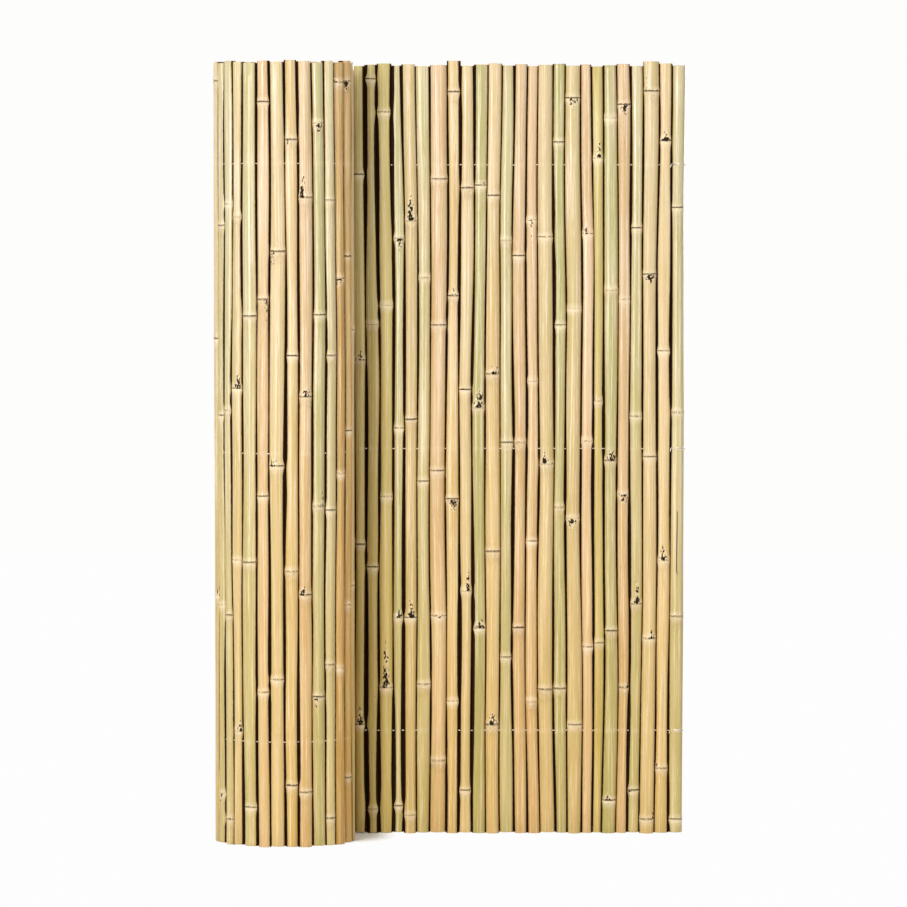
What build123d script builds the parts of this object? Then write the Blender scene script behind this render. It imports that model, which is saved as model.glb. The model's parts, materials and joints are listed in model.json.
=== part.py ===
from build123d import *

import os
from cmath import exp, phase
from dataclasses import dataclass
from math import cos, floor, pi, sin, tan

import numpy as np

# Rolled bamboo fence: whole drilled canes strung on three wires, flat at one end and rolled up at the other.
# Lengths are millimetres, +Z is up, the flat panel runs along +X and its front faces -Y.
# A place in plan is a complex number, x + iy, and a heading is a unit one.

# Fence
fence_height = 1216.0
panel_reach = 623.0
roll_width = 221.0
roll_depth = 182.0

# Canes
cane_sides = 8
cane_gap = 0.3
layer_gap = 0.4
length_spread = 5.0
foot_spread = 2.0
tall_canes = (3, 18)
tall_rise = 5.0
taper = 0.05
collar_rise = 0.6
collar_height = 5.0
node_end_margin = 14.0
node_wire_margin = 9.0
panel_stagger = 1.4
sway = 1.5
depth_sway = 0.4
sway_length = 760.0
sway_step = 0.45

# Canes that the photograph hides
hidden_panel_canes = 5
hidden_roll_canes = 7
right_side_canes = 2
hidden_diameter = 19.6
hidden_diameter_spread = 1.6
hidden_node_spacing = 400.0
inner_cane_count = 31
inner_cane_diameter = 17.0
inner_cane_lap = 1.4

# Wires
wire_size = 1.6
wire_clearance = 0.3
bottom_wire_inset = 164.0
top_wire_inset = 157.0

# Cutting lists, cane by cane: diameter, height of the lowest node, distance from node to node
panel_list = [
    (18.0, 22, 323),
    (19.2, 103, 331),
    (20.2, 22, 288),
    (18.7, 68, 297),
    (16.0, 232, 307),
    (20.6, 52, 270),
    (13.0, 303, 383),
    (17.6, 296, 327),
    (21.0, 170, 331),
    (17.9, 230, 288),
    (21.0, 229, 358),
    (17.9, 210, 254),
    (17.9, 327, 294),
    (19.5, 280, 330),
    (19.5, 167, 281),
    (19.5, 326, 350),
    (17.9, 68, 318),
    (19.5, 210, 321),
    (22.5, 116, 230),
    (19.5, 237, 322),
    (17.9, 29, 314),
    (16.3, 43, 300),
    (19.5, 232, 303),
    (19.5, 38, 385),
    (15.6, 167, 292),
]
roll_front_list = [
    (16.5, 78, 295),
    (15.0, 39, 319),
    (16.5, 179, 266),
    (20.4, 61, 381),
    (17.0, 241, 304),
    (20.4, 261, 331),
    (17.3, 96, 333),
    (18.9, 85, 307),
    (18.0, 233, 296),
    (16.5, 42, 240),
    (16.5, 275, 303),
    (18.0, 102, 271),
]

# The wires' heights above the floor
bottom_row = bottom_wire_inset
top_row = fence_height - top_wire_inset
wire_rows = {"bottom_wire": bottom_row, "middle_wire": (bottom_row + top_row) / 2, "top_wire": top_row}

golden_share = (5 ** 0.5 - 1) / 2
side_angle = pi / cane_sides


def uneven(number, start):
    """A spread of shares from 0 to 1, one for each cane, that doesn't repeat."""
    share = number * golden_share + start
    return share - floor(share)


def across_corners(half_width):
    """Distance from a cane's middle to its corners, for the distance to its flats."""
    return half_width / cos(side_angle)


@dataclass
class Cane:
    """A cane's sections from foot to top, and where it stands on the fence's line in plan."""

    name: str
    heights: list
    halves: list
    shifts: list
    seat: complex = 0j
    heading: complex = -1 + 0j

    def half(self, height):
        """Distance from the middle to the flats at a height."""
        return np.interp(height, self.heights, self.halves)

    def centre(self, height):
        """The middle of the cane at a height."""
        return self.seat + self.heading * np.interp(height, self.heights, self.shifts)

    def plane(self, spot, height):
        """A level plane at a spot in plan, with its X along the fence."""
        along = (self.heading.real, self.heading.imag, 0)
        return Plane(origin=(spot.real, spot.imag, height), x_dir=along, z_dir=(0, 0, 1))

    def reach(self, height, direction):
        """How far the cane reaches from its middle towards a neighbour that lies near its heading."""
        turn = abs(phase(direction / self.heading))
        turn = min(turn, pi - turn)
        return self.half(height) * (cos(turn) + tan(side_angle) * sin(turn))

    def corners(self, height):
        """The corners of the cane's section at a height."""
        ring = across_corners(self.half(height)) * self.heading
        return [self.centre(height) + ring * exp(1j * side_angle * (2 * k + 1)) for k in range(cane_sides)]


def node_heights(first_node, node_spacing, top):
    """Heights of a cane's nodes, kept clear of its ends and of the wires."""
    nodes = []
    node = first_node
    while node < top - node_end_margin - collar_height:
        clear = node
        for row in wire_rows.values():
            if abs(node - row) < node_wire_margin:
                clear = row + node_wire_margin
        nodes.append(clear)
        node += node_spacing
    return nodes


def grown_cane(name, number, diameter, first_node, node_spacing, stagger):
    """A tapered, slightly crooked cane that swells to a collar at each node and bends there."""
    foot = 0.0 if number % 3 == 0 else foot_spread * uneven(number, 0.2)
    top = fence_height + length_spread * (uneven(number, 0.7) - 0.5)
    if number in tall_canes:
        top += tall_rise
    thick_end = 1 if number % 2 else -1
    heights = [foot]
    rises = [0.0]
    for node in node_heights(first_node, node_spacing, top):
        heights += [node, node + collar_height]
        rises += [collar_rise, 0.0]
    heights.append(top)
    rises.append(0.0)
    halves = []
    shifts = []
    for height, rise in zip(heights, rises):
        swell = 1 + thick_end * taper * (height / fence_height - 0.5)
        angle = 2 * pi * height / sway_length + sway_step * number
        halves.append(diameter / 2 * swell + rise)
        shifts.append(sway * sin(angle) + 1j * (depth_sway * cos(angle) + stagger * thick_end))
    return Cane(name, heights, halves, shifts)


def hidden_cane(name, number, stagger):
    """A cane that the photograph doesn't show, with a size and nodes like its neighbours'."""
    diameter = hidden_diameter + hidden_diameter_spread * (uneven(number, 0.4) - 0.5)
    first_node = hidden_node_spacing * uneven(number, 0.1)
    return grown_cane(name, number, diameter, first_node, hidden_node_spacing, stagger)


# The canes in order, from the free end of the panel to the end of the outer turn
canes = []
for diameter, first_node, node_spacing in panel_list:
    number = len(canes) + 1
    name = f"panel_cane_{number:02d}"
    canes.append(grown_cane(name, number, diameter, first_node, node_spacing, panel_stagger))
for _ in range(hidden_panel_canes):
    number = len(canes) + 1
    canes.append(hidden_cane(f"panel_cane_{number:02d}", number, panel_stagger))
panel_cane_count = len(canes)
for _ in range(hidden_roll_canes):
    number = len(canes) + 1
    canes.append(hidden_cane(f"roll_cane_{number - panel_cane_count:02d}", number, 0.0))
for diameter, first_node, node_spacing in roll_front_list:
    number = len(canes) + 1
    name = f"roll_cane_{number - panel_cane_count:02d}"
    canes.append(grown_cane(name, number, diameter, first_node, node_spacing, 0.0))
for _ in range(right_side_canes):
    number = len(canes) + 1
    canes.append(hidden_cane(f"roll_cane_{number - panel_cane_count:02d}", number, 0.0))

# The canes of the inner turns, plain from foot to top
inner_half = inner_cane_diameter / 2
inner_canes = []
for _ in range(inner_cane_count):
    inner_canes.append(Cane("roll_inner_turns", [0.0, fence_height], [inner_half, inner_half], [0j, 0j]))

# The roll is an oval spiral whose layers lie one cane apart
thickest = max(max(cane.halves) for cane in canes[panel_cane_count:])
layer_pitch = across_corners(thickest) + depth_sway + layer_gap + across_corners(inner_half)
half_width = (roll_width + layer_pitch) / 2 - thickest
half_depth = (roll_depth + layer_pitch / 2) / 2 - thickest


def spiral(turns):
    """A point of the roll's line, so many turns on from where the panel meets its back."""
    angle = pi / 2 + 2 * pi * turns
    drop = layer_pitch * turns
    return complex((half_width - drop) * cos(angle), (half_depth - drop) * sin(angle))


# Lengths along the roll's line, measured from the free end of the panel
steps_per_turn = 720
roll_turns = 3
turn_marks = np.linspace(0, roll_turns, roll_turns * steps_per_turn + 1)
roll_line = np.array([spiral(turns) for turns in turn_marks])
roll_lengths = panel_reach + np.concatenate([[0.0], np.cumsum(np.abs(np.diff(roll_line)))])


def stand(cane, length):
    """Stands a cane on the fence's line, so far from the free end of the panel."""
    if length < panel_reach:
        cane.seat = complex(panel_reach - length, half_depth)
        cane.heading = -1 + 0j
        return
    turns = float(np.interp(length, roll_lengths, turn_marks))
    step = 1 / steps_per_turn
    along = spiral(turns + step) - spiral(turns - step)
    cane.seat = spiral(turns)
    cane.heading = along / abs(along)


def gap_between(cane, neighbour):
    """The smallest gap between two canes, at whichever height they come closest."""
    line = neighbour.seat - cane.seat
    direction = line / abs(line)
    gaps = []
    for height in sorted(set(cane.heights + neighbour.heights)):
        apart = (neighbour.centre(height) - cane.centre(height)) * direction.conjugate()
        gaps.append(apart.real - cane.reach(height, direction) - neighbour.reach(height, direction))
    return min(gaps)


# Each cane is pushed up to the one before it, and the last two leave room for the wires' end loops
push_steps = 6
whole_row = canes + inner_canes
loop_gap = wire_size + 2 * wire_clearance
gaps = [loop_gap] + [cane_gap] * (len(canes) - 1) + [-inner_cane_lap] * (inner_cane_count - 1)
length = max(canes[0].halves)
stand(canes[0], length)
for before, cane, gap in zip(whole_row, whole_row[1:], gaps):
    length += max(before.halves) + max(cane.halves)
    for _ in range(push_steps):
        stand(cane, length)
        length += gap - gap_between(before, cane)
    stand(cane, length)


def end_loop(height):
    """The line of a wire's end loop: out of the end cane, across its front and back to the wire."""
    end_cane = canes[0]
    middle = end_cane.centre(height)
    away = end_cane.half(height) + wire_clearance + wire_size / 2
    left = middle.real - away
    right = middle.real + away
    front = middle.imag - away
    back = end_cane.seat.imag
    return [complex(left, back), complex(left, front), complex(right, front), complex(right, back)]


def wire_line(height):
    """The line of a wire through every separate cane, up to the face of the inner turns."""
    last = canes[-1].seat
    onward = inner_canes[0].seat - last
    direction = onward / abs(onward)
    run = abs(onward) - inner_canes[0].reach(height, direction) - wire_clearance
    straight = [cane for cane in canes if cane.heading == -1]
    bends = [cane.seat for cane in canes[len(straight) - 1:]]
    return [end_loop(height)[-1]] + bends + [last + direction * run]


def strip(line, width):
    """The outline of a strip of even width along a line in plan, mitred at its bends."""
    runs = [(b - a) / abs(b - a) for a, b in zip(line, line[1:])]
    sides = []
    for point, before, after in zip(line, [runs[0]] + runs, runs + [runs[-1]]):
        mitre = 1j * (before + after) / (1 + (before * after.conjugate()).real)
        sides.append((point + mitre * width / 2, point - mitre * width / 2))
    outline = [left for left, right in sides] + [right for left, right in reversed(sides)]
    return [(point.real, point.imag) for point in outline]


def drill_width(cane, neighbours):
    """Width of a cane's holes from front to back, with room for the wire to bend towards its neighbours."""
    ways = [(other.seat - cane.seat) / cane.heading for other in neighbours]
    slope = max(abs(way.imag / way.real) for way in ways)
    return wire_size + 2 * (wire_clearance + max(cane.halves) * slope)


# The middle of the fence's outline in plan is the origin
corners = [corner for cane in whole_row for height in cane.heights for corner in cane.corners(height)]
corners += [complex(*point) for height in wire_rows.values() for point in strip(end_loop(height), wire_size)]
middle_x = (max(c.real for c in corners) + min(c.real for c in corners)) / 2
middle_y = (max(c.imag for c in corners) + min(c.imag for c in corners)) / 2
for cane in whole_row:
    cane.seat -= complex(middle_x, middle_y)

os.makedirs("parts", exist_ok=True)

# Separate canes
for before, cane, after in zip([canes[1]] + canes, canes, canes[1:] + inner_canes[:1]):
    drill_size = (2 * across_corners(max(cane.halves)), drill_width(cane, (before, after)), loop_gap)
    drill_planes = []
    for height in wire_rows.values():
        along = (cane.centre(height) - cane.seat) * cane.heading.conjugate()
        spot = cane.seat + cane.heading * along.real
        drill_planes.append(cane.plane(spot, height))
    with BuildPart() as bamboo:
        for height in cane.heights:
            with BuildSketch(cane.plane(cane.centre(height), height)):
                RegularPolygon(cane.half(height), cane_sides, major_radius=False, rotation=180 / cane_sides)
        loft(ruled=True)
        with Locations(*drill_planes):
            Box(*drill_size, mode=Mode.SUBTRACT)
    bamboo.part.label = cane.name
    export_step(bamboo.part, f"parts/{cane.name}.step")

# Inner turns of the roll
with BuildPart() as inner_turns:
    with BuildSketch():
        with Locations(*[cane.plane(cane.seat, 0) for cane in inner_canes]):
            RegularPolygon(inner_half, cane_sides, major_radius=False, rotation=180 / cane_sides)
    extrude(amount=fence_height)
inner_turns.part.label = "roll_inner_turns"
export_step(inner_turns.part, "parts/roll_inner_turns.step")

# Wires
for name, height in wire_rows.items():
    with BuildPart() as wire:
        with BuildSketch(Plane.XY.offset(height - wire_size / 2)):
            Polygon(*strip(wire_line(height), wire_size), align=(Align.NONE, Align.NONE))
            Polygon(*strip(end_loop(height), wire_size), align=(Align.NONE, Align.NONE))
        extrude(amount=wire_size)
    wire.part.label = name
    export_step(wire.part, f"parts/{name}.step")
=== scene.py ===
"""Looks of a rolled bamboo fence: round noded canes with cut ends, strung on three galvanised wires."""

from __future__ import annotations

import json
import logging
from dataclasses import dataclass, field
from enum import Enum
from typing import Any, Sequence

import bpy
import numpy as np
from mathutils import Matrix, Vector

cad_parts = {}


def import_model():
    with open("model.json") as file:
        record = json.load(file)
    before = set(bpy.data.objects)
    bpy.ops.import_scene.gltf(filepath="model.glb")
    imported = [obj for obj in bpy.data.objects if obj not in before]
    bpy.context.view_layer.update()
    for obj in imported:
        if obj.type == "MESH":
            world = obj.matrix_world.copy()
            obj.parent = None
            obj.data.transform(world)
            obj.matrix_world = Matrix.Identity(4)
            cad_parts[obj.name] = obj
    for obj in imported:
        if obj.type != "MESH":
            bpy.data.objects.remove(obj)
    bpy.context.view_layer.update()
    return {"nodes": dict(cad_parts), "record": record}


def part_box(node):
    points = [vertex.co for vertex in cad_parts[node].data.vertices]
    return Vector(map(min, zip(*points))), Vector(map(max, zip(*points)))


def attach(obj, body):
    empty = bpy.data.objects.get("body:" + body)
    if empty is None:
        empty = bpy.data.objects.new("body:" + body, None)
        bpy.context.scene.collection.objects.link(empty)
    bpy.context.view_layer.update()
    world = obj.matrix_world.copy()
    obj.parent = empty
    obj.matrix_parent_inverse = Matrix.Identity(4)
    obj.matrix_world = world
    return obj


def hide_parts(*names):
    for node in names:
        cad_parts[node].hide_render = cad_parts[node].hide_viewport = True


log = logging.getLogger("bamboo_fence")

Colour = tuple[float, float, float]
Place = tuple[float, float, float]
Span = tuple[float, float]

TURN = 2 * np.pi
GOLDEN = 0.618  # Steps of the golden section spread the canes' own shares evenly.
# Painted shade: each cane's tone is shifted towards its darker drift colour, more in the panel than in the roll,
# standing in for the occlusion and warm bounce light on the panel.
PANEL_SHADE_SHIFT = 0.30  # How far the panel's canes are painted darker and yellower, as shade.
ROLL_SHADE_SHIFT = 0.10
CORNERS = 8  # Of a solid cane's section.
END_ZONE = 0.008  # No node is built nearer than this to a cane's end.
SHARP_DEGREES = 50.0

# Each kind of random choice counts its seeds from a number of its own.
PAIR_SEED = 9000
MARK_SEED = 1000
INNER_SEED = 500
WIRE_SEED = 40


class Sock:
    """A shader socket that takes part in Python expressions, where each operation adds one Math node."""

    def __init__(self, tree: NodeTree, socket: bpy.types.NodeSocket) -> None:
        """Wraps an output socket of a node in a tree."""
        self.tree = tree
        self.socket = socket

    def math(self, operation: str, first: Any, second: Any) -> Sock:
        """Adds a Math node of one operation on two values or sockets."""
        return self.tree.node("ShaderNodeMath", {"operation": operation}, {0: first, 1: second})

    def __add__(self, other: Any) -> Sock:
        """This value plus another."""
        return self.math("ADD", self, other)

    def __sub__(self, other: Any) -> Sock:
        """This value less another."""
        return self.math("SUBTRACT", self, other)

    def __rsub__(self, other: Any) -> Sock:
        """Another value less this."""
        return self.math("SUBTRACT", other, self)

    def __mul__(self, other: Any) -> Sock:
        """This value times another."""
        return self.math("MULTIPLY", self, other)

    def __abs__(self) -> Sock:
        """This value without its sign."""
        return self.math("ABSOLUTE", self, 0.0)

    def highest(self, other: Any) -> Sock:
        """The larger of this value and another."""
        return self.math("MAXIMUM", self, other)

    def ramp(self, start: float, end: float) -> Sock:
        """A smooth step of this value.

        Args:
            start: The value at which the step is 0.
            end: The value at which it is 1, which may be the lower of the two.

        Returns:
            The step, from 0 to 1.
        """
        low, high = min(start, end), max(start, end)
        sockets = {"Value": self, "From Min": low, "From Max": high, "To Min": float(start > end),
                   "To Max": float(start < end)}
        return self.tree.node("ShaderNodeMapRange", {"interpolation_type": "SMOOTHSTEP"}, sockets)


class NodeTree:
    """Builds a material's nodes."""

    def __init__(self, tree: bpy.types.NodeTree) -> None:
        """Takes over a tree and empties it."""
        self.tree = tree
        tree.nodes.clear()

    def node(self, kind: str, settings: dict[str, Any] | None = None, sockets: dict[Any, Any] | None = None,
             output: Any = 0) -> Sock:
        """Adds a node of any kind.

        Args:
            kind: The node's type.
            settings: The node's own settings, which are set first.
            sockets: Values or links of its input sockets, by name or number.
            output: The name or number of the output to hand back.

        Returns:
            The output.
        """
        made = self.tree.nodes.new(kind)
        for name, value in (settings or {}).items():
            setattr(made, name, value)
        for name, value in (sockets or {}).items():
            if isinstance(value, Sock):
                self.tree.links.new(value.socket, made.inputs[name])
            else:
                made.inputs[name].default_value = value
        return Sock(self, made.outputs[output])

    def attribute(self, name: str, output: str = "Fac") -> Sock:
        """Reads an attribute of the piece's own mesh."""
        return self.node("ShaderNodeAttribute", {"attribute_name": name}, output=output)

    def stretched(self, vector: Sock, scale: Any) -> Sock:
        """A vector or colour times a scale of its own along each axis."""
        return self.node("ShaderNodeVectorMath", {"operation": "MULTIPLY"}, {0: vector, 1: scale})

    def noise(self, vector: Sock, squash: float, scale: float, detail: float = 2.0,
              roughness: float = 0.5) -> Sock:
        """Soft noise from 0 to 1.

        Args:
            vector: Where it is read.
            squash: Its waves up the third axis for each wave across, low where it is drawn out along a cane.
            scale: Its waves per metre across.
            detail: Its finer octaves.
            roughness: How strong they are.

        Returns:
            The noise.
        """
        drawn = self.stretched(vector, (1.0, 1.0, squash))
        sockets = {"Vector": drawn, "Scale": scale, "Detail": detail, "Roughness": roughness}
        return self.node("ShaderNodeTexNoise", None, sockets)

    def mix(self, share: Any, first: Any, second: Any) -> Sock:
        """A colour between two colours or sockets, by the second one's share."""
        colours = [value if isinstance(value, Sock) else (*value, 1.0) for value in (first, second)]
        sockets = {0: share, 6: colours[0], 7: colours[1]}
        return self.node("ShaderNodeMix", {"data_type": "RGBA"}, sockets, 2)

    def layered(self, base: Any, *layers: tuple[Any, Any]) -> Sock:
        """A colour with other colours laid over it in turn, each after its own share."""
        for share, over in layers:
            base = self.mix(share, base, over)
        return base

    def bump(self, height: Sock, depth: float, strength: float) -> Sock:
        """A normal that is bent by a height from 0 to 1, whose depth is in metres, with some strength."""
        return self.node("ShaderNodeBump", None, {"Height": height, "Distance": depth, "Strength": strength})

    def finish(self, sockets: dict[str, Any]) -> None:
        """Ends the tree in a Principled shader with the given sockets."""
        self.end(self.node("ShaderNodeBsdfPrincipled", None, sockets))

    def end(self, shader: Sock, kind: str = "ShaderNodeOutputMaterial") -> None:
        """Ends the tree in an output node of the given kind, with a shader for its surface."""
        made = self.tree.nodes.new(kind)
        self.tree.links.new(shader.socket, made.inputs["Surface"])


def blank_material(name: str) -> tuple[bpy.types.Material, NodeTree]:
    """Makes a material of a name, and hands it back with its empty tree."""
    material = bpy.data.materials.new(name)
    material.use_nodes = True
    return material, NodeTree(material.node_tree)


def add_object(name: str, data: bpy.types.ID) -> bpy.types.Object:
    """Adds an object to the scene, made of a mesh, lamp or camera."""
    made = bpy.data.objects.new(name, data)
    bpy.context.scene.collection.objects.link(made)
    return made


class Tone(Enum):
    """The bamboo's tones, each with the name of its finish in the record."""

    STRAW = "straw_bamboo"
    PALE_GREEN = "pale_green_bamboo"
    GREEN = "green_bamboo"
    PEACH = "peach_bamboo"
    GOLDEN = "golden_bamboo"
    OLIVE = "olive_bamboo"
    TAN = "tan_bamboo"


@dataclass(frozen=True)
class BambooFinish:
    """Dried bamboo of one tone: long grain, drifting colour, waxy nodes, mould marks and painted shade between
    canes.
    """

    tone: Tone
    skin: Colour
    drift: Colour
    pale: Colour
    sheen: float = 0.54
    coat_roughness: float = 0.27
    blush: Colour = (0.80, 0.545, 0.37)
    leaf: Colour = (0.62, 0.535, 0.26)
    low_tint: Colour = (0.96, 0.925, 0.74)
    high_tint: Colour = (0.965, 1.02, 1.12)
    wax: Colour = (0.92, 0.78, 0.56)
    # Brown of real stains, also used as painted shade at the edges of the dark lines between canes.
    stain_and_gap_shade: Colour = (0.46, 0.285, 0.10)
    ring: Colour = (0.045, 0.022, 0.008)
    mould: Colour = (0.010, 0.007, 0.005)
    # Near-black painted shade along the lines where canes meet.
    grime: Colour = (0.016, 0.004, 0.001)
    wood: Colour = (0.84, 0.67, 0.42)
    pith: Colour = (0.36, 0.23, 0.10)

    def material(self) -> bpy.types.Material:
        """Makes the finish.

        Long noise streaks mix the skin, drift and pale colours, and a tint changes from foot to top. Distances
        from the nodes give a brown ring, a waxy band and speckles, and the mesh's own fields give mould, cracks,
        cut wood, and painted shade where each cane meets its neighbours.

        Returns:
            The material.
        """
        material, tree = blank_material(self.tone.value)
        skin = tree.attribute("skin", "Vector")
        above, below, cut, bore = map(tree.attribute, ("above", "below", "cut", "bore"))
        shade, mark, scar, drill = map(tree.attribute, ("shade", "mark", "scar", "drill"))
        drift = tree.noise(skin, 0.10, 55.0)
        hue = tree.noise(skin, 0.05, 150.0)
        streaks = tree.noise(skin, 0.012, 420.0, 3.0, 0.6)
        fibres = tree.noise(skin, 0.02, 1900.0)
        blotch = tree.noise(skin, 0.45, 300.0, 3.0, 0.6)
        speck = tree.noise(skin, 0.60, 900.0, 2.0, 0.6)
        dots = tree.noise(skin, 0.62, 330.0, 2.0, 0.55)
        place = tree.node("ShaderNodeTexCoord", output="Object")
        height = tree.node("ShaderNodeSeparateXYZ", None, {0: place}, "Z")

        # The skin between nodes: drifting tone, pale and dark streaks, mottle and flecks, tinted by height.
        tint = (drift - 0.5) * 2.2 + shade
        mottle = speck.ramp(0.50, 0.72) * (hue * 0.5 + drift * 0.5).ramp(0.42, 0.62)
        flecks = (dots + (speck - 0.5) * 0.3).ramp(0.76, 0.82) * hue.ramp(0.48, 0.62)
        colour = tree.layered(
            self.skin,
            (tint.ramp(-0.45, 0.75), self.drift),
            (hue.ramp(0.52, 0.70) * 0.34, self.blush),
            (hue.ramp(0.46, 0.30) * 0.50, self.leaf),
            ((streaks + (fibres - 0.5) * 0.5).ramp(0.49, 0.68) * 0.95, self.pale),
            ((streaks - (fibres - 0.5) * 0.5).ramp(0.46, 0.28) * 0.70, self.drift),
            ((drift * 0.5 + blotch * 0.5).ramp(0.58, 0.72) * 0.30, self.stain_and_gap_shade),
            (height.ramp(0.60, 0.0) * 0.12, self.drift),
            (mottle * 0.22, self.stain_and_gap_shade),
            (flecks * 0.60, self.ring),
        )
        colour = tree.stretched(colour, tree.mix(height.ramp(0.10, 1.10), self.low_tint, self.high_tint))

        # The nodes: a waxy band below, stains, freckles and a broken dark ring.
        worn = (below.ramp(0.016, 0.002) + above.ramp(0.012, 0.002)) * speck.ramp(0.36, 0.62)
        stained = below.ramp(0.030, 0.006) * mark.ramp(0.30, 0.90) * blotch.ramp(0.30, 0.70)
        freckle = speck.ramp(0.56, 0.66) * (below.ramp(0.026, 0.003) + above.ramp(0.026, 0.003))
        crescent = (below + (speck - 0.5) * 0.004).ramp(0.0060, 0.0030)
        line = above + (blotch - 0.5) * 0.0050 + (speck - 0.5) * 0.0016
        ring = line.ramp(0.0030, 0.0014) + below.ramp(0.0012, 0.0002)
        broken = (blotch - 0.5) * 2.8 + mark
        colour = tree.layered(
            colour,
            (worn * 0.75, self.wax),
            (stained * 0.45, self.stain_and_gap_shade),
            (freckle * mark.ramp(0.05, 0.8) * 0.75, self.stain_and_gap_shade),
            (crescent * (1 - mark * 0.8) * 0.5, self.wax),
            (ring * broken.ramp(0.20, 0.50) * (mark * 0.45 + 0.55), self.ring),
        )

        # Mould patches, frayed holes, the crack, painted shade on the sides next to neighbours and the cut ends.
        patch = scar * 0.56 + (dots - 0.5) * scar.ramp(0.0, 0.12) * 2.2 + (speck - 0.5) * scar * 0.7
        mould = patch.ramp(0.29, 0.36)
        frayed = drill.ramp(0.006, 0.0015) * speck.ramp(0.46, 0.60)
        crack = abs(tree.attribute("crack") + (drift - 0.5) * 0.004).ramp(0.0013, 0.0005)
        # Painted shade between canes: the crevice field, the distance from where a cane meets its neighbour, sets
        # a near-black line with a brown edge.
        gap = tree.attribute("crevice") + (blotch - 0.5) * 0.0007
        grime = gap.ramp(0.0008, 0.0002)
        rays = tree.noise(skin, 1.0, 1500.0, 2.0, 0.7).ramp(0.48, 0.72)
        end = tree.layered(self.wood, (rays * 0.65, self.pith), (bore, self.pith))
        colour = tree.layered(
            colour,
            (scar.ramp(0.02, 0.30) * speck.ramp(0.34, 0.60) * 0.5, self.wax),
            (patch.ramp(0.14, 0.34) * 0.55, self.stain_and_gap_shade),
            (mould * 0.97, self.mould),
            (frayed * mark * 0.28, self.wax),
            (crack * 0.90, self.ring),
            # Painted shade between canes: a brown edge, then a near-black line.
            (gap.ramp(0.0030, 0.0004) * 0.42, self.stain_and_gap_shade),
            (grime * 0.98, self.grime),
            (cut, end),
        )

        # The skin is glossy along its streaks, and matt where it is mouldy, painted with gap shade, or cut.
        dull = 1 - mould.highest(grime).highest(cut)
        sheen = dull * ((streaks - 0.5) * 1.1 + self.sheen + (blotch - 0.5) * 0.4)
        rough = (streaks - 0.5) * 0.2 + 0.52 + (1 - dull) * 0.4
        relief = streaks * 0.55 + fibres * 0.25 + blotch * 0.20 - mould * 0.3 - crack * 0.8
        tree.finish({"Base Color": colour, "Roughness": rough, "Specular IOR Level": 0.06, "Coat Weight": sheen,
                     "Coat Roughness": self.coat_roughness, "Coat IOR": 1.5,
                     "Normal": tree.bump(relief, 0.0005, 0.7)})
        return material


@dataclass(frozen=True)
class WireFinish:
    """Galvanised wire that has dulled outdoors."""

    bright: Colour = (0.82, 0.75, 0.61)
    dull: Colour = (0.54, 0.47, 0.36)
    rust: Colour = (0.24, 0.13, 0.06)

    def material(self) -> bpy.types.Material:
        """Makes the finish, where noise mixes bright zinc, dull zinc and a little rust.

        Returns:
            The material.
        """
        material, tree = blank_material("galvanised_wire")
        place = tree.node("ShaderNodeTexCoord", output="Object")
        spangle = tree.noise(place, 1.0, 420.0, 3.0, 0.6)
        rust = tree.noise(place, 1.0, 90.0).ramp(0.60, 0.74)
        colour = tree.layered(self.bright, (spangle.ramp(0.38, 0.66), self.dull), (rust * 0.6, self.rust))
        tree.finish({"Base Color": colour, "Metallic": 0.75 - rust * 0.6, "Roughness": spangle * 0.2 + 0.36,
                     "Normal": tree.bump(spangle, 0.0001, 0.5)})
        return material


@dataclass(frozen=True)
class Scar:
    """A dark mould patch that runs up (or, with a negative length, down) a cane from one of its nodes."""

    node: int
    length: float
    bearing: float = 0.0
    spread: float = 0.55
    strength: float = 1.0


@dataclass
class Grid:
    """A closed surface on a grid of rows and columns, with fields on its points."""

    points: np.ndarray
    fields: dict[str, np.ndarray]


def mesh_piece(name: str, grids: Sequence[Grid], material: bpy.types.Material) -> bpy.types.Object:
    """Makes one piece of some grids, each wrapped round its columns and capped at its first and last row.

    Args:
        name: The piece's name.
        grids: Its surfaces.
        material: Its finish.

    Returns:
        The piece, with one float attribute for each field and a vector one for "skin".
    """
    faces: list[Sequence[int]] = []
    start = 0
    for grid in grids:
        rows, columns = grid.points.shape[:2]
        number = np.arange(start, start + rows * columns).reshape(rows, columns)
        onward = np.roll(number, -1, axis=1)
        quads = np.stack([number[:-1], onward[:-1], onward[1:], number[1:]], axis=-1).reshape(-1, 4)
        faces += quads.tolist() + [number[0, ::-1].tolist(), number[-1].tolist()]
        start += rows * columns
    points = np.concatenate([grid.points.reshape(-1, 3) for grid in grids])
    mesh = bpy.data.meshes.new(name)
    mesh.from_pydata(points.tolist(), [], faces)
    mesh.polygons.foreach_set("use_smooth", np.ones(len(mesh.polygons), dtype=bool))
    for field_name in grids[0].fields:
        values = np.concatenate([grid.fields[field_name].reshape(grid.points[..., 0].size, -1) for grid in grids])
        is_vector = values.shape[1] == 3
        kind, part = ("FLOAT_VECTOR", "vector") if is_vector else ("FLOAT", "value")
        mesh.attributes.new(field_name, kind, "POINT").data.foreach_set(part, values.ravel().astype(np.float32))
    mesh.set_sharp_from_angle(angle=np.radians(SHARP_DEGREES))
    mesh.materials.append(material)
    mesh.update()
    return add_object(name, mesh)


def mesh_points(node: bpy.types.Object) -> np.ndarray:
    """The triangles of a CAD node, by triangle, corner and coordinate."""
    mesh = node.data
    mesh.calc_loop_triangles()
    flat = np.empty(len(mesh.vertices) * 3, dtype=np.float32)
    mesh.vertices.foreach_get("co", flat)
    corners = np.empty(len(mesh.loop_triangles) * 3, dtype=np.int32)
    mesh.loop_triangles.foreach_get("vertices", corners)
    return flat.reshape(-1, 3)[corners].reshape(-1, 3, 3).astype(float)


def within_half_turn(angle: np.ndarray) -> np.ndarray:
    """Angles brought to within half a turn of 0."""
    return (angle + np.pi) % TURN - np.pi


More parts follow.
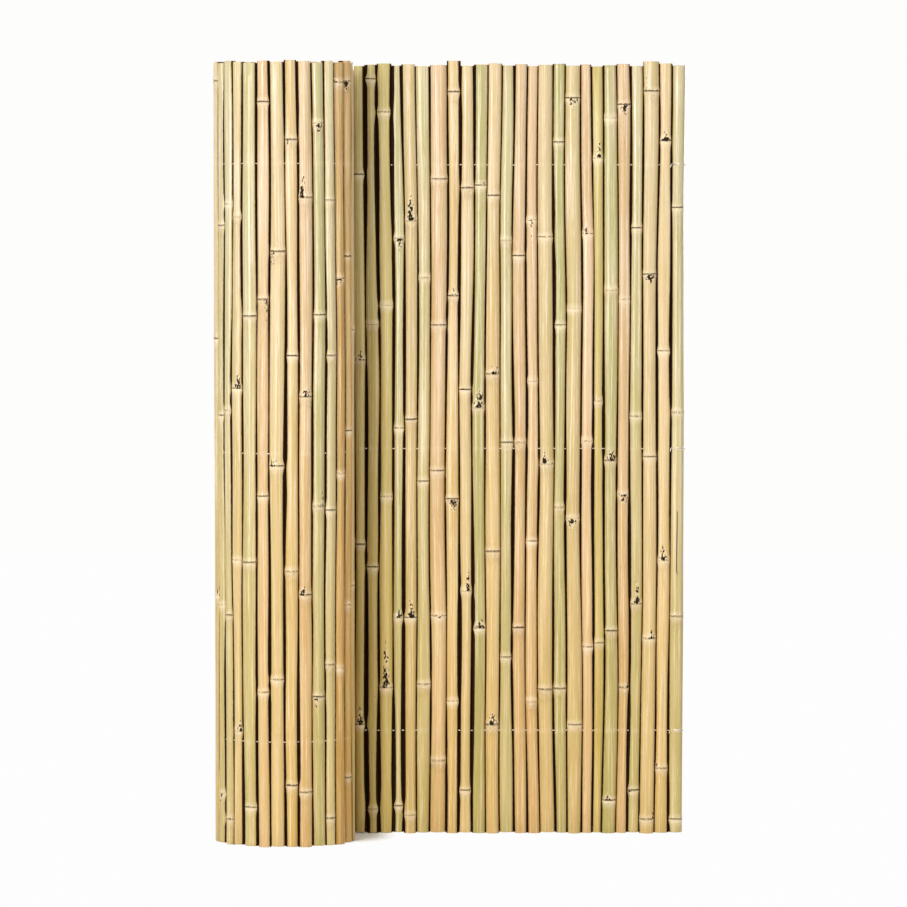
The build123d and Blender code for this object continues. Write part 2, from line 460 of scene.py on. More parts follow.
@dataclass
class Stem:
    """A cane's middle line and thickness from foot to top. A place in plan is a complex number, x + iy.

    The seed of a separate cane is its number in the row: 1 to 30 in the panel and on from 31 in the roll.
    """

    name: str
    heights: np.ndarray
    middles: np.ndarray
    halves: np.ndarray
    seed: int
    nodes: np.ndarray
    # Painted shade: shift of the cane's tone towards its darker drift colour.
    age: float = 0.0

    @classmethod
    def read(cls, name: str, node: bpy.types.Object, seed: int) -> Stem:
        """Reads a stem from its solid, at each level where the solid has all its corners.

        Args:
            name: The node's name.
            node: The node's object.
            seed: The cane's own number.

        Returns:
            The stem, whose nodes are the levels at which the solid starts to swell.
        """
        points = np.round(mesh_points(node).reshape(-1, 3), 5)
        places = points[:, 0] + 1j * points[:, 1]
        heights, middles, halves = [], [], []
        for level in np.unique(points[:, 2]):
            ring = np.unique(places[points[:, 2] == level])
            if len(ring) >= CORNERS:
                heights.append(level)
                middles.append(ring.mean())
                halves.append(np.abs(ring - ring.mean()).mean() * np.cos(np.pi / CORNERS))
        plain = [0, *range(2, len(heights) - 1, 2), len(heights) - 1]
        nodes = np.array(heights[1:-1:2])
        nodes = nodes[(nodes > heights[0] + END_ZONE) & (nodes < heights[-1] - END_ZONE)]
        age = PANEL_SHADE_SHIFT if name.startswith("panel_cane_") else ROLL_SHADE_SHIFT
        lines = (np.array(values)[plain] for values in (heights, middles, halves))
        return cls(name, *lines, seed, nodes, age)

    @property
    def foot(self) -> float:
        """Height of the cane's lower end."""
        return float(self.heights[0])

    @property
    def top(self) -> float:
        """Height of the cane's upper end."""
        return float(self.heights[-1])

    @property
    def centre(self) -> complex:
        """The middle of the cane's middle line."""
        return complex(np.interp((self.foot + self.top) / 2, self.heights, self.middles))

    def middle(self, heights: np.ndarray) -> np.ndarray:
        """The cane's middle line at some heights."""
        return np.interp(heights, self.heights, self.middles)


def beside(stems: Sequence[Stem], number: int) -> list[Stem]:
    """The stems just before and just after one in a row."""
    return [*stems[max(number - 1, 0):number], *stems[number + 1:number + 2]]


@dataclass
class CaneShape:
    """The round form of a cane: a slightly oval tube with ridged nodes, a shallow groove and hollow cut ends."""

    sides: int = 28
    ring_step: float = 0.04
    ring_room: float = 0.004  # Least room beside the rings of nodes and holes.
    end_room: float = 0.0005
    swell: float = 1.03  # The round radius over half the solid's width.
    uneven: float = 0.006
    uneven_length: float = 0.31
    uneven_phase: float = 1.7
    ridge: float = 0.0010
    ridge_shares: Span = (0.7, 0.6)  # The least, and how much more.
    slip: float = -0.00012  # Room left between neighbours, below 0 so that they touch.
    give: float = 0.0042  # How far a side yields to a neighbour.
    wander: float = 0.0013
    wave_lengths: Place = (0.95, 0.52, 0.31)
    wave_shares: Place = (0.6, 0.35, 0.25)
    wave_stretch: Span = (0.8, 1.25)
    lean: float = 0.0014
    lean_waves: tuple[Span, Span] = ((1.30, 0.37), (0.74, 0.53))  # Length, and turn per pair.
    lean_second: float = 0.6
    gap: float = 0.0014  # Half the width of the painted shade line between canes.
    roll_gap: float = 0.0010
    gap_shares: Span = (0.35, 1.7)
    gap_swing: float = 0.75
    gap_limits: Span = (0.15, 2.0)
    pinch: float = 0.7  # How far a node closes that line, within a reach.
    pinch_reach: float = 0.008
    first_roll: int = 31
    wide_gaps: dict[int, float] = field(default_factory=dict)
    rows: tuple[float, ...] = ()  # Heights of the drilled holes.
    oval: float = 0.012
    groove: float = 0.055
    groove_width: float = 0.10
    edge: float = 0.0006
    tilt: float = 0.035
    bore: float = 0.60
    bore_shares: Span = (0.9, 1.1)
    bore_depth: float = 0.018
    depth_shares: Span = (0.6, 1.2)
    bore_floor: float = 0.002
    reach: float = 0.09  # Distances from nodes are counted up to this.
    far: float = 0.02  # So are those from holes and the crack.
    crevice_span: Span = (-0.004, 0.01)
    cane_shade: float = 0.25
    section_shade: float = 0.24
    scar_reach: float = 1.15
    scar_point: float = 0.4
    scar_dark: float = 0.95
    crack_middle: float = 0.465
    crack_half: float = 0.06
    crack_fade: float = 0.04
    crack_closed: float = 0.03
    skin_steps: Place = (0.37, 0.73, 1.31)  # Each cane reads its grain at a place of its own.
    skin_span: Place = (5.0, 5.0, 7.0)
    drill_steps: tuple[float, ...] = (-0.009, -0.004, 0.0, 0.004, 0.009)
    node_steps: tuple[float, ...] = (-0.072, -0.052, -0.038, -0.028, -0.021, -0.015, -0.010, -0.0055, -0.0030,
                                     -0.0016, -0.0009, -0.0003, 0.0003, 0.0012, 0.0026, 0.0042, 0.0065, 0.011,
                                     0.016, 0.022, 0.030, 0.040, 0.054, 0.074)
    node_rise: tuple[float, ...] = (*[0.0] * 7, 0.08, 0.30, 0.66, 0.85, 0.72, 0.08, 0.20, 0.62, 0.58, 0.22,
                                    *[0.0] * 7)

    def rings(self, stem: Stem) -> np.ndarray:
        """Heights of a cane's rings from foot to top, close together at its nodes and evenly spread between."""
        low, high = stem.foot + self.edge, stem.top - self.edge
        even = np.linspace(low, high, int((high - low) / self.ring_step) + 2)
        drilled = np.array([row + step for row in self.rows for step in self.drill_steps])
        near = np.concatenate([(stem.nodes[:, None] + np.array(self.node_steps)).ravel(), drilled])
        keep = np.abs(even[:, None] - near[None, :]).min(axis=1) > self.ring_room
        keep[[0, -1]] = True
        near = near[(near > low + self.end_room) & (near < high - self.end_room)]
        return np.unique(np.concatenate([even[keep], near]))

    def radius(self, stem: Stem, heights: np.ndarray) -> np.ndarray:
        """A cane's mean radius at some heights: its solid's, rounded out, with a lip and a ridge at each node."""
        plain = np.interp(heights, stem.heights, stem.halves) * self.swell
        turn = TURN * heights / self.uneven_length + stem.seed * self.uneven_phase
        plain = plain * (1 + self.uneven * np.sin(turn))
        rise = np.zeros_like(plain)
        least, more = self.ridge_shares
        ridge = self.ridge * (least + more * ((stem.seed * GOLDEN) % 1.0))
        for node in stem.nodes:
            rise = np.maximum(rise, np.interp(heights - node, self.node_steps, self.node_rise, 0.0, 0.0))
        return plain + ridge * rise

    def meeting(self, pair: int, heights: np.ndarray) -> tuple[np.ndarray, np.ndarray]:
        """Where two neighbours meet: sums of three long waves of the pair's own, and a lean that pairs share.

        Args:
            pair: The lower number of the two canes.
            heights: Where it is wanted.

        Returns:
            How far the meeting line wanders from midway, and half the width of the painted shade line along it.
        """
        dice = np.random.default_rng(PAIR_SEED + pair)
        lengths = np.array(self.wave_lengths) * dice.uniform(*self.wave_stretch, 3)
        waves = np.array(self.wave_shares)[:, None] * np.sin(
            TURN * heights[None, :] / lengths[:, None] + dice.uniform(0, TURN, (2, 3))[..., None])
        line, width = waves.sum(axis=1)
        first, second = (np.sin(TURN * heights / length + pair * turn) for length, turn in self.lean_waves)
        together = first + self.lean_second * second
        usual = self.gap if pair < self.first_roll else self.roll_gap
        half = self.wide_gaps.get(pair, usual * dice.uniform(*self.gap_shares))
        half_gap = half * np.clip(1 + self.gap_swing * width, *self.gap_limits)
        return self.wander * line + self.lean * together, half_gap

    def in_columns(self, values: np.ndarray) -> np.ndarray:
        """One value for each row of the surface, repeated in all its columns."""
        return np.repeat(values[:, None], self.sides, axis=1)

    def grid(self, stem: Stem, neighbours: Sequence[Stem], scars: Sequence[Scar] = (), crack: float | None = None
             ) -> Grid:
        """A cane's surface by height and angle, from the floor of its lower bore to the floor of its upper one.

        The radius is the mean one, drawn out towards each neighbour until the two surfaces just touch, and drawn
        in along a groove that changes sides at each node.

        Args:
            stem: The cane's stem.
            neighbours: The stems beside it.
            scars: Its mould patches.
            crack: Bearing of a short crack along it, or None.

        Returns:
            The surface, with the fields that the finish reads.
        """
        dice = np.random.default_rng(stem.seed)
        heights = self.rings(stem)
        angle = np.arange(self.sides) * TURN / self.sides
        mean = self.radius(stem, heights)
        section = np.searchsorted(stem.nodes, heights)
        near = np.full((len(heights), self.sides), -1.0)
        crevice = np.full_like(near, self.crevice_span[1])
        draw = np.zeros_like(near)
        for other in neighbours:
            line = other.middle(heights) - stem.middle(heights)
            room = np.abs(line) - mean - self.radius(other, heights)
            toward = np.cos(angle[None, :] - np.angle(line)[:, None])
            shift, half_gap = self.meeting(min(stem.seed, other.seed), heights)
            shift = shift if stem.seed < other.seed else -shift
            for node in (*stem.nodes, *other.nodes):
                half_gap = half_gap * (1 - self.pinch * np.exp(-((heights - node) / self.pinch_reach) ** 2))
            pull = np.clip(room / 2 + shift, -self.give, self.give) - self.slip
            draw += pull[:, None] * np.clip(toward, 0.0, 1.0) ** 2
            near = np.maximum(near, toward)
            # The crevice field sets the painted shade between canes: distance from the meeting line less half the
            # line's width.
            inset = (mean + pull)[:, None] * (1 - toward)
            crevice = np.minimum(crevice, inset - half_gap[:, None])
        oval = self.oval * np.cos(2 * (angle - dice.uniform(0, TURN)))
        side = dice.uniform(0, TURN) + np.pi * section
        hollow = np.exp(-((1 - np.cos(angle[None, :] - side[:, None])) / self.groove_width) ** 2)
        depth = self.groove * dice.uniform(0.0, 1.0) * np.clip(1 - near, 0.0, 1.0)
        free = 1 - np.clip(near, 0.0, 1.0) ** 2
        radius = mean[:, None] * (1 + free * oval[None, :] - depth * hollow) + draw

        ends = np.append(stem.nodes, stem.top + 1.0)
        starts = np.append(-1.0, stem.nodes)
        sections = len(stem.nodes) + 1
        # Painted shade: the stem's shift towards the drift colour, plus random tone for the cane and each
        # section.
        shades = stem.age + dice.normal(0.0, self.cane_shade) + dice.normal(0.0, self.section_shade, sections)
        bearing = within_half_turn(angle + np.pi / 2)
        fields = {
            "above": self.in_columns(np.clip(heights - starts[section], 0.0, self.reach)),
            "below": self.in_columns(np.clip(ends[section] - heights, 0.0, self.reach)),
            "shade": self.in_columns(shades[section]),
            "mark": self.in_columns(dice.uniform(0.0, 1.0, sections)[section]),
            "crevice": np.maximum(crevice, self.crevice_span[0]),
            "drill": self.in_columns(self.drilled(heights)),
            "scar": self.mould(stem, heights, bearing, scars),
            "crack": np.full_like(radius, self.far),
        }
        if crack is not None:
            turn = within_half_turn(bearing - crack)
            past = np.abs(heights - self.crack_middle) - self.crack_half
            closed = self.crack_closed * np.clip(past / self.crack_fade, 0.0, 1.0)
            beside_crack = np.clip(turn[None, :] * radius, -self.far, self.far)
            fields["crack"] = beside_crack + np.sign(turn)[None, :] * closed[:, None]
        return self.capped(stem, heights, angle, radius, fields, dice)

    def drilled(self, heights: np.ndarray) -> np.ndarray:
        """Distance of some heights from the nearest row of drilled holes, up to the far distance."""
        away = [np.abs(heights - row) for row in self.rows]
        return np.minimum.reduce([np.full_like(heights, self.far), *away])

    def mould(self, stem: Stem, heights: np.ndarray, bearing: np.ndarray, scars: Sequence[Scar]) -> np.ndarray:
        """The strength of a cane's mould patches at some heights and bearings from the front.

        Each patch is a soft spear that fades away from its node.
        """
        strength = np.zeros((len(heights), len(bearing)))
        for scar in scars:
            if scar.node >= len(stem.nodes):
                continue
            along = (heights - stem.nodes[scar.node]) / scar.length
            fade = (np.clip(self.scar_reach - along, 0.0, 1.0) * (along > 0))[:, None]
            turn = within_half_turn(bearing - scar.bearing)[None, :]
            across = np.exp(-(turn / (scar.spread * (self.scar_point + (1 - self.scar_point) * fade))) ** 2)
            strength = np.maximum(strength, self.scar_dark * scar.strength * fade * across)
        return strength

    def capped(self, stem: Stem, heights: np.ndarray, angle: np.ndarray, radius: np.ndarray,
               fields: dict[str, np.ndarray], dice: np.random.Generator) -> Grid:
        """Adds a cane's ends to its surface: a worn edge, a cut face and a bore, each a few more rows.

        Args:
            stem: The cane's stem.
            heights: The rings' heights.
            angle: The columns' angles.
            radius: The radius at each point.
            fields: The fields at each point.
            dice: The cane's own random numbers.

        Returns:
            The closed surface.
        """
        hole = self.bore * dice.uniform(*self.bore_shares)
        tilt = dice.uniform(-self.tilt, self.tilt) * np.cos(angle - dice.uniform(0, TURN))[None, :]
        depth = self.bore_depth * dice.uniform(*self.depth_shares)
        depths = [min(depth, room - self.bore_floor)
                  for room in (stem.nodes[0] - stem.foot, stem.top - stem.nodes[-1])]
        low, high = radius[:1], radius[-1:]
        rows = np.concatenate([low * hole, low * hole, low - self.edge, radius,
                               high - self.edge, high * hole, high * hole])
        levels = np.concatenate([[stem.foot + depths[0], stem.foot, stem.foot], heights,
                                 [stem.top, stem.top, stem.top - depths[1]]])
        lift = np.zeros_like(rows)
        lift[-3:-1] = tilt * rows[-3:-1]
        middle = stem.middle(np.clip(levels, stem.foot, stem.top))[:, None]
        local = rows * np.exp(1j * angle)[None, :]
        plan = middle + local
        points = np.stack([plan.real, plan.imag, levels[:, None] + lift], axis=-1)
        full = {name: np.concatenate([values[:1]] * 3 + [values] + [values[-1:]] * 3)
                for name, values in fields.items()}
        cut = np.zeros(len(levels))
        cut[:3] = cut[-3:] = 1.0
        bore = np.zeros(len(levels))
        bore[0] = bore[-1] = 1.0
        full["cut"] = self.in_columns(cut)
        full["bore"] = self.in_columns(bore)
        start = stem.seed * np.array(self.skin_steps) % np.array(self.skin_span)
        full["skin"] = np.stack([local.real, local.imag, points[..., 2]], axis=-1) + start
        return Grid(points, full)


@dataclass
class FenceRow:
    """The separate canes in order, from the free end of the panel to the end of the roll's outer turn."""

    shape: CaneShape
    finishes: dict[str, bpy.types.Material]
    slots: dict[str, str]
    crack_cane: str = "panel_cane_01"
    crack_bearing: float = -0.16
    stray_scars: float = 0.5
    stray_length: Span = (0.008, 0.030)
    stray_spread: Span = (0.15, 0.35)
    stray_strength: Span = (0.45, 0.85)
    scars: dict[int, tuple[Scar, ...]] = field(default_factory=dict)

    def stems(self, nodes: dict[str, bpy.types.Object]) -> list[Stem]:
        """Reads the canes' stems in order from the frame's nodes."""
        names = sorted(name for name in nodes if name.startswith("panel_cane_"))
        names += sorted(name for name in nodes if name.startswith("roll_cane_"))
        return [Stem.read(name, nodes[name], number) for number, name in enumerate(names, 1)]

    def marks(self, stem: Stem) -> list[Scar]:
        """A cane's mould patches: those that are known, and a few at random on its other nodes."""
        known = list(self.scars.get(stem.seed, ()))
        taken = {scar.node for scar in known}
        dice = np.random.default_rng(MARK_SEED + stem.seed)
        for node in range(len(stem.nodes)):
            if node not in taken and dice.random() < self.stray_scars:
                length = dice.choice([-1, 1]) * dice.uniform(*self.stray_length)
                known.append(Scar(node, length, dice.uniform(-np.pi, np.pi), dice.uniform(*self.stray_spread),
                                  dice.uniform(*self.stray_strength)))
        return known

    def build(self, stems: Sequence[Stem]) -> None:
        """Builds and dresses every cane of a row, in order."""
        for number, stem in enumerate(stems):
            crack = self.crack_bearing if stem.name == self.crack_cane else None
            grid = self.shape.grid(stem, beside(stems, number), self.marks(stem), crack)
            slot = self.slots[stem.name]
            piece = mesh_piece(f"{stem.name}.round", [grid], self.finishes[slot])
            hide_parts(stem.name)
            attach(piece, "root")
            log.info("%s: %d nodes, %s", stem.name, len(stem.nodes), slot)


@dataclass
class InnerTurns:
    """The canes inside the roll's outer turn, joined in one piece as their solid is."""

    shape: CaneShape
    finish: bpy.types.Material
    slot: str
    node_name: str = "roll_inner_turns"
    solid_half: float = 0.0085
    half: float = 0.0076
    uneven_top: float = 0.003
    upright: float = 0.001  # A side's normal has no more height than this.
    flat_slack: float = 0.00004
    same_place: float = 0.004
    first_node: Span = (0.04, 0.30)
    last_node: float = 0.03
    node_step: Span = (0.26, 0.36)

    def places(self, node: bpy.types.Object, start: complex) -> list[complex]:
        """Finds the canes of the solid from its flats, each half a cane's width from a cane's middle.

        Args:
            node: The solid.
            start: Where the outer turn ends.

        Returns:
            The canes' middles, in order from there.
        """
        triangles = mesh_points(node)
        plan = triangles[..., 0] + 1j * triangles[..., 1]
        runs = np.roll(plan, -1, axis=1) - plan
        widest = np.abs(runs).argmax(axis=1)[:, None]
        run = np.take_along_axis(runs, widest, 1)[:, 0]
        middle = np.take_along_axis(plan, widest, 1)[:, 0] + run / 2
        facing = np.cross(triangles[:, 1] - triangles[:, 0], triangles[:, 2] - triangles[:, 0])
        facing /= np.linalg.norm(facing, axis=1)[:, None]
        flat = 2 * self.solid_half * np.tan(np.pi / CORNERS)
        full = (np.abs(facing[:, 2]) < self.upright) & (np.abs(np.abs(run) - flat) < self.flat_slack)
        found = middle[full] - (facing[full, 0] + 1j * facing[full, 1]) * self.solid_half
        left = list(np.unique(np.round(found, 4)))
        order: list[complex] = []
        spot = start
        while left:
            nearest = min(left, key=lambda place: abs(place - spot))
            left = [place for place in left if abs(place - nearest) > self.same_place]
            order.append(complex(nearest))
            spot = nearest
        return order

    def stem(self, place: complex, number: int) -> Stem:
        """The stem of a plain cane that stands at a place, with a number and nodes of its own."""
        seed = INNER_SEED + number
        dice = np.random.default_rng(seed)
        low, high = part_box(self.node_name)
        top = high.z - dice.uniform(0.0, self.uneven_top)
        nodes = np.arange(dice.uniform(*self.first_node), top - self.last_node, dice.uniform(*self.node_step))
        heights = np.array([low.z, top])
        middles = np.array([place, place])
        return Stem(f"inner_cane_{number:02d}", heights, middles, np.full(2, self.half), seed, nodes)

    def build(self, node: bpy.types.Object, start: complex) -> None:
        """Builds and dresses the canes of a solid as one piece, in order from where the outer turn ends."""
        stems = [self.stem(place, number) for number, place in enumerate(self.places(node, start), 1)]
        grids = [self.shape.grid(stem, beside(stems, number)) for number, stem in enumerate(stems)]
        piece = mesh_piece("roll_inner_turns.round", grids, self.finish)
        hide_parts(self.node_name)
        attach(piece, "root")
        log.info("inner turns: %d canes", len(stems))


@dataclass
class WireRows:
    """Round wire threaded through every cane, wound one and a half times round the end cane, with a tail."""

    shape: CaneShape
    finish: bpy.types.Material
    slot: str = "galvanised_wire"
    names: tuple[str, ...] = ("bottom_wire", "middle_wire", "top_wire")
    half: float = 0.0008
    sides: int = 8
    off_centre: float = 0.0046
    front_share: float = 0.75
    sway: Span = (0.85, 1.1)
    hole_half: float = 0.0022
    jitter: float = 0.0003
    sunk: float = 0.9  # The winding stands off the cane by this share of half its thickness.
    spring: float = 0.06
    wind_rise: float = 0.0030
    wind_start: float = 0.35
    wind_turns: float = 1.5
    wind_steps: int = 60
    tail: float = 0.011
    tail_way: complex = -0.30 - 0.95j
    tail_drop: float = 0.006
    tail_steps: int = 8

    def tube(self, path: np.ndarray) -> Grid:
        """A round tube along a path that nowhere runs straight up: a circle square to it at each point."""
        along = np.gradient(path, axis=0)
        along /= np.linalg.norm(along, axis=1)[:, None]
        side = np.cross(along, [0.0, 0.0, 1.0])
        side /= np.linalg.norm(side, axis=1)[:, None]
        over = np.cross(along, side)
        angle = np.arange(self.sides) * TURN / self.sides
        ring = np.cos(angle)[None, :, None] * side[:, None, :] + np.sin(angle)[None, :, None] * over[:, None, :]
        return Grid(path[:, None, :] + self.half * ring, {})

    def threaded(self, stems: Sequence[Stem], height: float, seed: int) -> np.ndarray:
        """The wire's run through the canes, with two points in each gap, a little off the canes' middles.

        Args:
            stems: The canes' stems, in order.
            height: The row's height.
            seed: The row's own number.

        Returns:
            The run's points, from the end of the outer turn to the end cane.
        """
        dice = np.random.default_rng(seed)
        level = np.array([height])
        middles = np.array([stem.middle(level)[0] for stem in stems])
        radii = np.array([self.shape.radius(stem, level)[0] for stem in stems])
        lines = middles[1:] - middles[:-1]
        heading = lines / np.abs(lines)
        gaps = middles[:-1] + lines * (radii[:-1] / (radii[:-1] + radii[1:]))
        on_roll = np.array([stem.name.startswith("roll") for stem in stems[1:]])
        outward = np.where(on_roll, -1j, 1j) * heading
        face = np.where(dice.random(len(gaps)) < self.front_share, 1.0, -1.0)
        spots = gaps + outward * (face * dice.uniform(*self.sway, len(gaps))) * self.off_centre
        across = heading * self.hole_half
        pairs = np.stack([spots - across, spots + across], axis=1).ravel()[::-1]
        levels = height + dice.uniform(-self.jitter, self.jitter, len(pairs))
        return np.stack([pairs.real, pairs.imag, levels], axis=-1)

    def wound(self, end_cane: Stem, height: float) -> np.ndarray:
        """The wire's end: out of the end cane's side, twice across its front and off to a short tail."""
        level = np.array([height])
        middle = end_cane.middle(level)[0]
        away = self.shape.radius(end_cane, level)[0] + self.half * self.sunk
        share = np.linspace(0.0, 1.0, self.wind_steps)
        angle = -TURN * self.wind_turns * share
        plan = middle + away * (1 + self.spring * np.cos(angle)) * np.exp(1j * angle)
        rise = height + self.wind_rise * (share - self.wind_start)
        bend = np.linspace(0.15, 1.0, self.tail_steps)
        tail = plan[-1] + self.tail * (self.tail_way.real * bend + 1j * self.tail_way.imag * bend ** 0.8)
        drop = rise[-1] - self.tail_drop * bend ** 2
        plan = np.concatenate([[middle], plan, tail])
        return np.stack([plan.real, plan.imag, np.concatenate([[height], rise, drop])], axis=-1)

    def build(self, stems: Sequence[Stem]) -> None:
        """Builds and dresses the rows, threaded through the canes in order."""
        for number, name in enumerate(self.names):
            low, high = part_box(name)
            height = (low.z + high.z) / 2
            run = self.threaded(stems, height, WIRE_SEED + number)
            path = np.concatenate([run, self.wound(stems[0], height)])
            piece = mesh_piece(f"{name}.round", [self.tube(path)], self.finish)
            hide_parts(name)
            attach(piece, "root")
            log.info("%s: %d points", name, len(path))


@dataclass(frozen=True)
class Lamp:
    """A soft box lamp: its power in watts, its size in metres, where it stands and the point it faces."""

    name: str
    power: float
    width: float
    tall: float
    place: Place
    aim: Place

    def build(self) -> None:
        """Adds the lamp to the scene."""
        data = bpy.data.lights.new(self.name, "AREA")
        data.energy = self.power
        data.shape = "RECTANGLE"
        data.size = self.width
        data.size_y = self.tall
        lamp = add_object(self.name, data)
        lamp.location = self.place
        way = np.array(self.aim) - np.array(self.place)
        pitch = np.arctan2(np.hypot(way[0], way[1]), -way[2])
        lamp.rotation_euler = (pitch, 0.0, np.arctan2(way[1], way[0]) - np.pi / 2)


@dataclass
class Studio:
    """A white floor and surround, soft lamps and the camera."""

    camera_place: Place = (0.004, -6.807, 0.963)
    camera_pitch: float = 2.99
    lens: float = 173.0
    sensor: float = 36.0
    backdrop: float = 0.985
    white: Colour = (1.0, 1.0, 0.99)
    ambient: float = 0.245
    ambient_tint: Colour = (1.0, 0.95, 0.86)
    floor_half: float = 6.0
    floor_colour: Colour = (0.90, 0.90, 0.89)
    floor_glow: float = 0.05
    floor_near: float = 1.4
    notch: Place = (-0.165, 0.04, 0.0)  # Beside the roll, where the photo shows a shadow.
    fade: Span = (0.045, 0.095)
    lamps: tuple[Lamp, ...] = (
        Lamp("key", 119.0, 1.2, 2.6, (-1.9, -3.6, 1.5), (0.0, 0.0, 0.75)),
        Lamp("fill", 33.0, 2.4, 2.4, (2.6, -3.4, 1.2), (0.0, 0.0, 0.6)),
        Lamp("top", 28.0, 1.6, 1.6, (-0.3, -0.5, 3.4), (-0.1, 0.0, 0.6)),
        Lamp("back", 120.0, 2.6, 2.6, (0.9, 4.2, 1.8), (0.0, 0.0, 0.6)),
    )

    def seen(self, tree: NodeTree) -> Sock:
        """1 for rays that show the surround: from the camera, in gloss and through glass."""
        rays = [tree.node("ShaderNodeLightPath", output=name)
                for name in ("Is Camera Ray", "Is Glossy Ray", "Is Transmission Ray")]
        return rays[0].highest(rays[1]).highest(rays[2])

    def floor(self) -> None:
        """A wide floor that is plain white where it is seen, apart from the notch, where it shows the shadow."""
        reach = self.floor_half
        mesh = bpy.data.meshes.new("floor")
        mesh.from_pydata([(-reach, -reach, 0), (reach, -reach, 0), (reach, reach, 0), (-reach, reach, 0)], [],
                         [(0, 1, 2, 3)])
        material, tree = blank_material("pale_floor")
        matt = tree.node("ShaderNodeBsdfDiffuse", None, {"Color": (*self.floor_colour, 1.0)})
        place = tree.node("ShaderNodeVectorMath", {"operation": "SUBTRACT"},
                          {0: tree.node("ShaderNodeTexCoord", output="Object"), 1: self.notch}, "Vector")
        away = tree.node("ShaderNodeVectorMath", {"operation": "LENGTH"}, {0: place}, "Value").ramp(*self.fade)
        white = tree.mix(away, (self.floor_near,) * 3, (self.backdrop,) * 3)
        glow = tree.node("ShaderNodeEmission", None, {"Color": white, "Strength": 1.0})
        share = self.seen(tree) * (away * (1 - self.floor_glow) + self.floor_glow)
        tree.end(tree.node("ShaderNodeMixShader", None, {0: share, 1: matt, 2: glow}))
        mesh.materials.append(material)
        floor = add_object("floor", mesh)

    def surround(self) -> None:
        """A world that is white where it is seen and gives a low, even light."""
        world = bpy.data.worlds.new("surround")
        bpy.context.scene.world = world
        world.use_nodes = True
        tree = NodeTree(world.node_tree)
        strength = self.seen(tree) * (self.backdrop - self.ambient) + self.ambient
        tint = tree.mix(self.seen(tree), self.ambient_tint, self.white)
        glow = tree.node("ShaderNodeBackground", None, {"Color": tint, "Strength": strength})
        tree.end(glow, "ShaderNodeOutputWorld")

    def build(self) -> None:
        """Sets up the floor, the surround, the lamps and the camera, with colours shown as they are."""
        self.floor()
        self.surround()
        for lamp in self.lamps:
            lamp.build()
        data = bpy.data.cameras.new("camera")
        data.lens = self.lens
        data.sensor_fit = "HORIZONTAL"
        data.sensor_width = self.sensor
        camera = add_object("camera", data)
        camera.location = self.camera_place
        camera.rotation_euler = (np.radians(90.0 - self.camera_pitch), 0.0, 0.0)
        bpy.context.scene.camera = camera
        bpy.context.scene.view_settings.view_transform = "Standard"


FINISHES = (
    BambooFinish(Tone.STRAW, (0.74, 0.545, 0.285), (0.62, 0.455, 0.195), (0.88, 0.70, 0.47)),
    BambooFinish(Tone.PALE_GREEN, (0.655, 0.53, 0.28), (0.54, 0.445, 0.18), (0.83, 0.69, 0.465), 0.75, 0.22),
    BambooFinish(Tone.GREEN, (0.58, 0.485, 0.23), (0.46, 0.40, 0.14), (0.77, 0.64, 0.405), 0.85, 0.20),
    BambooFinish(Tone.PEACH, (0.765, 0.535, 0.31), (0.655, 0.42, 0.195), (0.89, 0.69, 0.475)),
    BambooFinish(Tone.GOLDEN, (0.79, 0.565, 0.295), (0.655, 0.44, 0.165), (0.90, 0.72, 0.48)),
    BambooFinish(Tone.OLIVE, (0.66, 0.50, 0.18), (0.55, 0.42, 0.13), (0.78, 0.63, 0.31)),
    BambooFinish(Tone.TAN, (0.65, 0.39, 0.135), (0.53, 0.31, 0.095), (0.82, 0.57, 0.26)),
)

# Half widths of the painted shade lines between canes that the photo shows wider, by the lower number of the two
# canes.
WIDE_GAPS = {1: 0.0011, 2: 0.0011, 16: 0.0018, 17: 0.0018, 40: 0.0013, 43: 0.0016, 46: 0.0012}

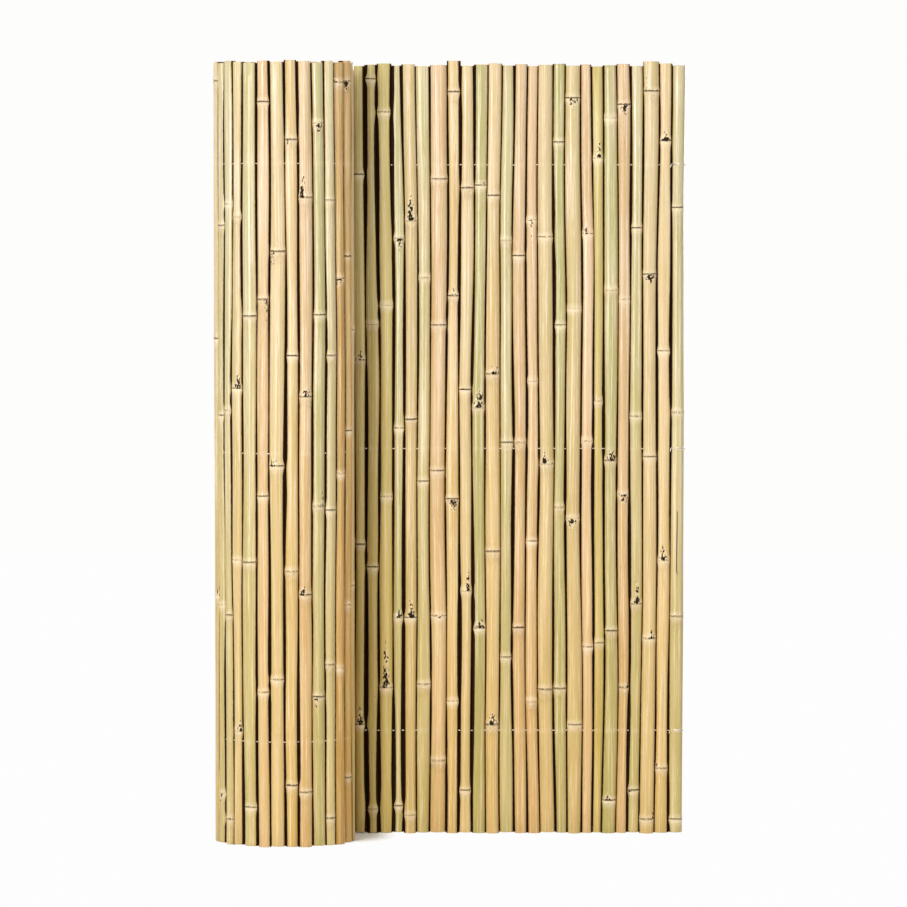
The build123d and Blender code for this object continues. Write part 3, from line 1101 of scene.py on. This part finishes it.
# The mould patches that the photo shows, by the cane's number, with nodes counted up from 0 at the foot.
SCARS = {
    2: (Scar(3, 0.016, 0.2), Scar(1, 0.022, -0.1)),
    3: (Scar(3, -0.014, 0.1), Scar(1, 0.012, 0.3)),
    4: (Scar(1, 0.045, 0.1, 0.3),),
    5: (Scar(3, -0.018, 0.0), Scar(1, -0.016, 0.2)),
    6: (Scar(2, 0.018, 0.3), Scar(0, 0.012, -0.3)),
    7: (Scar(2, 0.030, 0.0, 0.35),),
    9: (Scar(3, -0.016, 0.0), Scar(1, -0.018, -0.2)),
    11: (Scar(1, 0.020, -0.2),),
    15: (Scar(0, 0.020, 0.1), Scar(2, 0.016, 0.3)),
    16: (Scar(1, 0.030, 0.0, 0.6, 1.2), Scar(0, 0.014, 0.2)),
    17: (Scar(1, 0.040, 0.2, 0.2),),
    18: (Scar(1, -0.020, 0.1),),
    21: (Scar(3, 0.042, -0.1, 0.5, 1.2), Scar(1, 0.030, 0.1, 0.5, 1.1)),
    22: (Scar(3, -0.018, 0.1), Scar(1, 0.014, 0.2)),
    23: (Scar(0, 0.072, 0.0, 0.4, 1.1),),
    25: (Scar(0, 0.028, 0.1, 0.7, 1.2), Scar(2, 0.014, -0.1)),
    40: (Scar(2, 0.024, 0.0), Scar(0, 0.018, 0.1)),
    42: (Scar(2, -0.030, 0.5, 0.35, 0.9),),
    43: (Scar(1, 0.014, -0.6),),
    44: (Scar(3, -0.012, -0.5, 0.4),),
    45: (Scar(2, 0.016, 0.1), Scar(3, 0.040, -0.2, 0.3), Scar(1, 0.014, -0.2)),
    46: (Scar(3, -0.020, 0.5, 0.4),),
    48: (Scar(2, -0.014, 0.1, 0.5), Scar(3, 0.010, -0.4, 0.4)),
    49: (Scar(4, -0.018, 0.2, 0.4),),
}


def main() -> None:
    """Builds the fence on the frame and the studio around it."""
    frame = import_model()
    finishes = {finish.tone.value: finish.material() for finish in FINISHES}
    slots = {part["node"]: part["material_slot"] for part in frame["record"]["subparts"]}
    rows = tuple(float(sum(corner.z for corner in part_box(name)) / 2) for name in WireRows.names)
    row = FenceRow(CaneShape(rows=rows, wide_gaps=WIDE_GAPS), finishes, slots, scars=SCARS)
    stems = row.stems(frame["nodes"])
    row.build(stems)
    inner = InnerTurns(CaneShape(sides=20, ring_step=0.15), finishes[Tone.STRAW.value], Tone.STRAW.value)
    inner.build(frame["nodes"][inner.node_name], stems[-1].centre)
    WireRows(row.shape, WireFinish().material()).build(stems)
    Studio().build()


if __name__ == "__main__":
    logging.basicConfig(level=logging.INFO, format="%(message)s")
    main()
